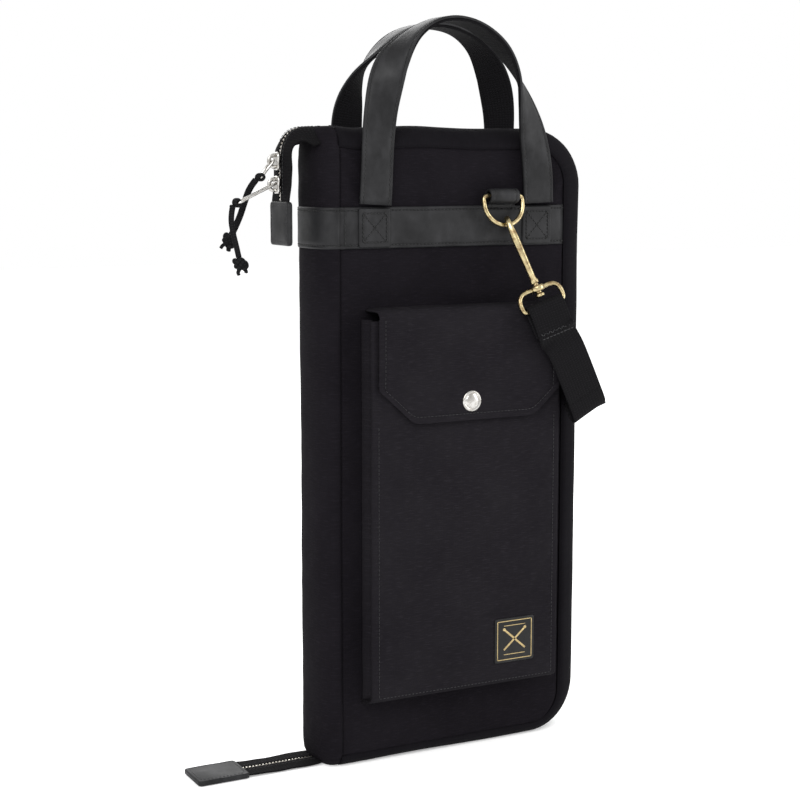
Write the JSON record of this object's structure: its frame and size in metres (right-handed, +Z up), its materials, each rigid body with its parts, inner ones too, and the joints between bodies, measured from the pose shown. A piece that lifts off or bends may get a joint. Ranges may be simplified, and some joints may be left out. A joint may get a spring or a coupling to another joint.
{
  "type": "drum stick bag",
  "caption": "Flat upright canvas stick bag that unzips like a book, with inner sleeves, a snap-flap front pocket, leather carrying handles and a clip-on shoulder strap.",
  "frame": {"origin": "on the floor under the middle of the bag's body, at mid-depth", "axes": "+Z up along the bag's height, +X towards the zipped free edge, -Y towards the pocket side"},
  "size_m": [0.33, 0.124, 0.56],
  "materials": {
    "canvas": "matt near-black waxed canvas with fine horizontal slubs",
    "lining": "dark plain woven lining",
    "zip_tape": "black woven zip tape",
    "zip_metal": "aged nickel",
    "leather": "dark charcoal waxed leather, mottled",
    "label_leather": "smooth black leather with a thin gold border",
    "webbing": "black ribbed webbing",
    "brass": "antique light brass with brown patina",
    "nickel": "bright nickel",
    "cord": "flat black cord"
  },
  "bodies": {
    "root": {"back_panel": "canvas", "back_lining": "lining", "stick_sleeves": "lining", "back_zip_tape": "zip_tape", "back_zip_teeth": "zip_metal", "back_band": "leather", "back_handle_feet": "leather", "back_ring_loop": "leather", "spine_fold": "canvas", "spine_band": "leather", "strap_turn": "webbing", "strap_back": "webbing", "strap_hank": "webbing", "hank_tie": "webbing", "strap_adjuster": "brass"},
    "front_cover": {"front_panel": "canvas", "front_lining": "lining", "front_zip_tape": "zip_tape", "front_zip_teeth": "zip_metal", "front_band": "leather", "front_handle_feet": "leather", "front_ring_loop": "leather", "pocket_body": "canvas", "pocket_label": "label_leather", "snap_stud": "nickel"},
    "flap_top": {"flap_top": "canvas"},
    "flap": {"pocket_flap": "canvas", "snap_cap": "nickel", "snap_socket": "nickel"},
    "front_ring": {"front_ring": "brass", "strap_eye": "brass", "strap_front": "webbing"},
    "hook": {"hook_body": "brass"},
    "hook_gate": {"hook_gate": "brass"},
    "back_ring": {"back_ring": "brass", "back_strap_eye": "brass", "strap_far_end": "webbing"},
    "back_hook": {"back_hook_body": "brass"},
    "back_hook_gate": {"back_hook_gate": "brass"},
    "front_handle": {"front_handle_leather": "leather", "front_handle_webbing": "webbing"},
    "back_handle": {"back_handle_leather": "leather", "back_handle_webbing": "webbing"},
    "top_tail": {"top_tail_tape": "zip_tape", "top_tail_teeth": "zip_metal", "top_tail_tab": "leather"},
    "bottom_tail": {"bottom_tail_tape": "zip_tape", "bottom_tail_teeth": "zip_metal", "bottom_tail_tab": "leather"},
    "upper_slider": {"upper_slider": "zip_metal"},
    "lower_slider": {"lower_slider": "zip_metal"},
    "upper_puller": {"upper_puller": "zip_metal", "upper_pull_cord": "cord", "upper_cord_knot": "cord"},
    "lower_puller": {"lower_puller": "zip_metal", "lower_pull_cord": "cord", "lower_cord_knot": "cord"}
  },
  "joints": [
    {"name": "cover_open", "type": "hinge", "parent": "root", "child": "front_cover", "pos_m": [-0.111, 0, 0.24], "axis": [0, 0, -1], "range_deg": [0, 100], "deforming": ["spine_fold", "spine_band", "strap_turn"]},
    {"name": "flap_lift", "type": "hinge", "parent": "front_cover", "child": "flap_top", "pos_m": [0, -0.0278, 0.3476], "axis": [-1, 0, 0], "range_deg": [0, 70]},
    {"name": "flap_fold", "type": "hinge", "parent": "flap_top", "child": "flap", "pos_m": [0, -0.0496, 0.3484], "axis": [-1, 0, 0], "range_deg": [0, 42]},
    {"name": "ring_swing", "type": "hinge", "parent": "front_cover", "child": "front_ring", "pos_m": [0.0336, -0.033, 0.429], "axis": [-1, 0, 0], "range_deg": [0, 77], "deforming": ["strap_front"]},
    {"name": "hook_swivel", "type": "hinge", "parent": "front_ring", "child": "hook", "pos_m": [0.03786, -0.03838, 0.40514], "axis": [-0.288, 0.304, 0.9081], "range_deg": [-8, 50]},
    {"name": "hook_gate_open", "type": "hinge", "parent": "hook", "child": "hook_gate", "pos_m": [0.04921, -0.04048, 0.38082], "axis": [0.7833, -0.4707, 0.406], "range_deg": [0, 22], "stiffness_Nm_per_rad": 0.03, "springref_deg": -11.46},
    {"name": "back_ring_swing", "type": "hinge", "parent": "root", "child": "back_ring", "pos_m": [-0.034, 0.033, 0.429], "axis": [1, 0, 0], "range_deg": [0, 70], "deforming": ["strap_far_end"]},
    {"name": "back_hook_swivel", "type": "hinge", "parent": "back_ring", "child": "back_hook", "pos_m": [-0.02974, 0.03838, 0.40514], "axis": [-0.288, -0.304, 0.9081], "range_deg": [-50, 8]},
    {"name": "back_gate_open", "type": "hinge", "parent": "back_hook", "child": "back_hook_gate", "pos_m": [-0.01839, 0.04048, 0.38082], "axis": [-0.7833, -0.4707, -0.406], "range_deg": [0, 22], "stiffness_Nm_per_rad": 0.03, "springref_deg": -11.46},
    {"name": "front_handle_fold", "type": "hinge", "parent": "front_cover", "child": "front_handle", "pos_m": [0, -0.0305, 0.4235], "axis": [-1, 0, 0], "range_deg": [-140, 0]},
    {"name": "back_handle_fold", "type": "hinge", "parent": "root", "child": "back_handle", "pos_m": [0, 0.0305, 0.4235], "axis": [1, 0, 0], "range_deg": [-140, 0]},
    {"name": "top_tail_turn", "type": "hinge", "parent": "root", "child": "top_tail", "pos_m": [-0.111, 0, 0.45], "axis": [0, 0, -1], "range_deg": [0, 50]},
    {"name": "bottom_tail_turn", "type": "hinge", "parent": "root", "child": "bottom_tail", "pos_m": [-0.111, 0, 0.002], "axis": [0, 0, -1], "range_deg": [0, 50]},
    {"name": "upper_slider_run", "type": "slide", "parent": "top_tail", "child": "upper_slider", "axis": [0, 0, 1], "range_m": [-0.0035, 0]},
    {"name": "lower_slider_run", "type": "slide", "parent": "top_tail", "child": "lower_slider", "axis": [0, 0, -1], "range_m": [0, 0.005]},
    {"name": "upper_puller_swing", "type": "hinge", "parent": "upper_slider", "child": "upper_puller", "pos_m": [-0.1408, 0, 0.455], "axis": [0, 1, 0], "range_deg": [-8, 98]},
    {"name": "lower_puller_swing", "type": "hinge", "parent": "lower_slider", "child": "lower_puller", "pos_m": [-0.1408, 0, 0.438], "axis": [0, 1, 0], "range_deg": [-44, 3]}
  ],
  "couplings": [
    {"joint": "flap_fold", "follows": "flap_lift", "ratio": 0.6},
    {"joint": "ring_swing", "follows": "flap_lift", "ratio": 1.1},
    {"joint": "top_tail_turn", "follows": "cover_open", "ratio": 0.5},
    {"joint": "bottom_tail_turn", "follows": "cover_open", "ratio": 0.5}
  ]
}
